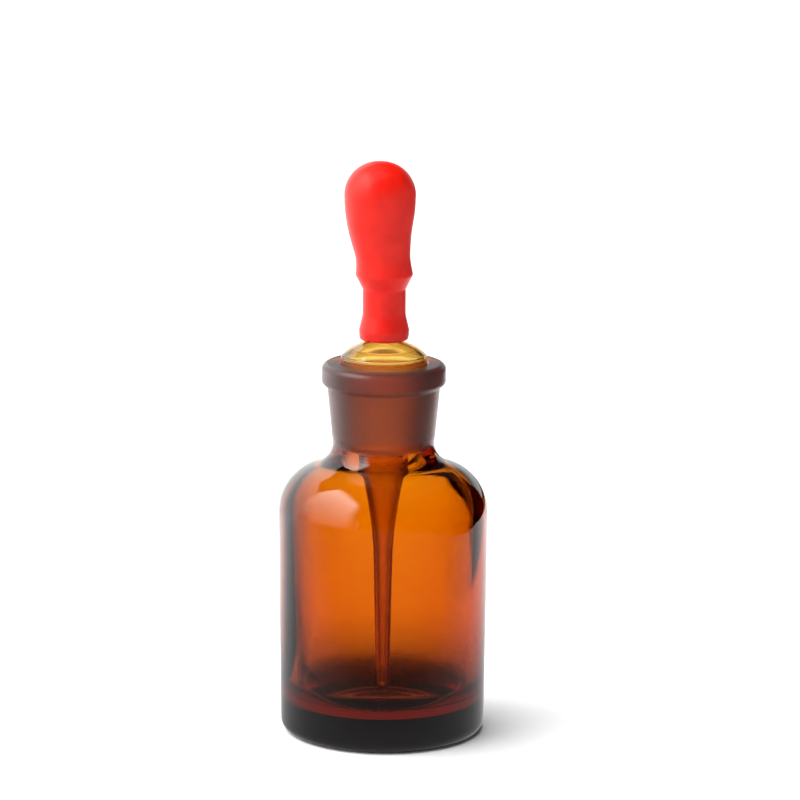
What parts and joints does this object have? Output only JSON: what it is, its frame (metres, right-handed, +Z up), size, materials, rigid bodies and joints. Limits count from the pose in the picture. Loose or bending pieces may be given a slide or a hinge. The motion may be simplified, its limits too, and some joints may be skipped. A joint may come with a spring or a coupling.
{
  "type": "dropper bottle",
  "caption": "Round amber glass bottle with a ground-in hollow glass dropper and a red rubber bulb, for dispensing liquid by the drop.",
  "frame": {"origin": "on the bottle's axis, in the plane that it stands on", "axes": "+Z up along the axis of the bottle, dropper and bulb; X and Y are any two horizontal directions, since all three pieces are turned"},
  "size_m": [0.0442, 0.0442, 0.1214],
  "materials": {
    "amber_glass": "clear amber soda-lime glass, polished, with a ground frosted bore in the neck",
    "pale_amber_glass": "clear thin-walled amber glass, polished, with a ground frosted plug",
    "red_rubber": "matte moulded natural rubber"
  },
  "bodies": {
    "bottle": {"bottle": "amber_glass"},
    "dropper": {"dropper": "pale_amber_glass"},
    "bulb": {"rubber_bulb": "red_rubber"}
  },
  "joints": [
    {"name": "dropper_lift", "type": "slide", "parent": "bottle", "child": "dropper", "axis": [0, 0, 1], "range_m": [0, 0.075]},
    {"name": "bulb_pull", "type": "slide", "parent": "dropper", "child": "bulb", "axis": [0, 0, 1], "range_m": [0, 0.016]}
  ]
}
